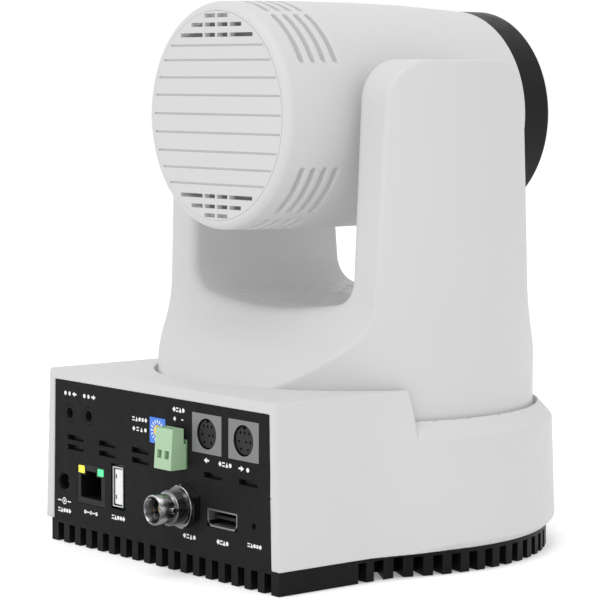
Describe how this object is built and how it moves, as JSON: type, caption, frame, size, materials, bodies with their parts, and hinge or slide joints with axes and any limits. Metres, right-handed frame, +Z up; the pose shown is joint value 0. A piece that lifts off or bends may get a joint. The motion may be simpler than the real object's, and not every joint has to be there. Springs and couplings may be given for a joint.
{
  "type": "ptz camera",
  "caption": "Motorised camera on a turning yoke: the round head tilts between two arms, the arms pan on a base with a rear connector panel.",
  "frame": {"origin": "pan axis at the resting plane, in the mouth of the tripod socket", "axes": "+Z up along the pan axis, the lens looks along -Y at rest, the connector panel faces +Y, +X to the right when looking along +Y"},
  "size_m": [0.142, 0.1642, 0.1811],
  "materials": {
    "white_plastic": "fine-textured moulded ABS",
    "black_paint": "satin black powder coat",
    "black_plastic": "moulded black",
    "rubber": "matte",
    "zinc_steel": "plated",
    "chrome": "polished nickel",
    "brass": "machined",
    "circuit_board": "solder mask",
    "switch_blue": "moulded",
    "rotor_yellow": "moulded",
    "terminal_green": "moulded",
    "socket_grey": "plated shell",
    "led_yellow": "lit light guide",
    "led_green": "lit light guide",
    "ptfe": "insulator",
    "window_plastic": "infrared window",
    "anodised": "machined",
    "motor_black": "satin",
    "belt_rubber": "toothed belt",
    "optic_glass": "coated"
  },
  "bodies": {
    "base": {"base_plate": "black_paint", "rubber_feet": "rubber", "base_screws": "zinc_steel", "tripod_insert": "brass", "housing": "white_plastic", "rear_panel": "black_paint", "ir_window": "window_plastic", "main_board": "circuit_board", "connector_board": "circuit_board", "line_in_jack": "black_plastic", "line_out_jack": "black_plastic", "select_switch_body": "switch_blue", "terminal_header": "terminal_green", "serial_in_socket": "socket_grey", "serial_out_socket": "socket_grey", "dc_jack": "black_plastic", "lan_jack": "black_plastic", "lan_led_yellow": "led_yellow", "lan_led_green": "led_green", "usb_port": "zinc_steel", "bnc_barrel": "chrome", "bnc_nut": "chrome", "bnc_insulator": "ptfe", "bnc_contact": "brass", "hdmi_port": "socket_grey", "restore_switch": "black_plastic", "pan_bearing_outer": "zinc_steel", "pan_belt": "belt_rubber", "pan_motor": "motor_black"},
    "select_knob": {"select_rotor": "rotor_yellow"},
    "plug": {"terminal_plug": "terminal_green", "terminal_screws": "zinc_steel"},
    "restore": {"restore_button": "black_plastic"},
    "pan_drive": {"pan_pinion": "brass"},
    "yoke": {"turntable": "anodised", "pan_bearing_inner": "zinc_steel", "pan_pulley": "anodised", "yoke_shell": "white_plastic", "yoke_front_cover": "white_plastic", "yoke_frame": "anodised", "tilt_bearings": "zinc_steel", "tilt_motor": "motor_black", "tilt_belt": "belt_rubber"},
    "tilt_drive": {"tilt_pinion": "brass"},
    "head": {"tilt_pulley": "anodised", "tilt_axle_left": "zinc_steel", "tilt_axle_right": "zinc_steel", "head_shell": "white_plastic", "rear_cap": "white_plastic", "cap_screen": "white_plastic", "lens_hood": "black_plastic", "front_bezel": "black_plastic", "front_glass": "optic_glass", "head_frame": "anodised", "lens_barrel": "black_plastic", "guide_rods": "zinc_steel", "sensor_board": "circuit_board"},
    "zoom": {"zoom_group": "optic_glass"},
    "focus": {"focus_group": "optic_glass"}
  },
  "joints": [
    {"name": "pan", "type": "hinge", "parent": "base", "child": "yoke", "pos_m": [0, 0, 0.045], "axis": [0, 0, 1], "range_deg": [-170, 170]},
    {"name": "tilt", "type": "hinge", "parent": "yoke", "child": "head", "pos_m": [0, 0, 0.1438], "axis": [-1, 0, 0], "range_deg": [-30, 90]},
    {"name": "pan_pinion_spin", "type": "hinge", "parent": "base", "child": "pan_drive", "pos_m": [-0.037, -0.01, 0.03], "axis": [0, 0, 1], "range_deg": [-860, 860]},
    {"name": "tilt_pinion_spin", "type": "hinge", "parent": "yoke", "child": "tilt_drive", "pos_m": [0.053, 0, 0.063], "axis": [-1, 0, 0], "range_deg": [-160, 460]},
    {"name": "zoom_slide", "type": "slide", "parent": "head", "child": "zoom", "axis": [0, 1, 0], "range_m": [-0.006, 0.008]},
    {"name": "focus_slide", "type": "slide", "parent": "head", "child": "focus", "axis": [0, 1, 0], "range_m": [-0.0015, 0.003]},
    {"name": "select_turn", "type": "hinge", "parent": "base", "child": "select_knob", "pos_m": [-0.0005, 0.0792, 0.044], "axis": [0, 1, 0], "continuous": true},
    {"name": "plug_pull", "type": "slide", "parent": "base", "child": "plug", "axis": [0, 1, 0], "range_m": [0, 0.01]},
    {"name": "restore_press", "type": "slide", "parent": "base", "child": "restore", "axis": [0, -1, 0], "range_m": [0, 0.0004], "stiffness_N_per_m": 800, "springref_m": -0.0002}
  ],
  "couplings": [
    {"joint": "pan_pinion_spin", "follows": "pan", "ratio": 5},
    {"joint": "tilt_pinion_spin", "follows": "tilt", "ratio": 5}
  ]
}
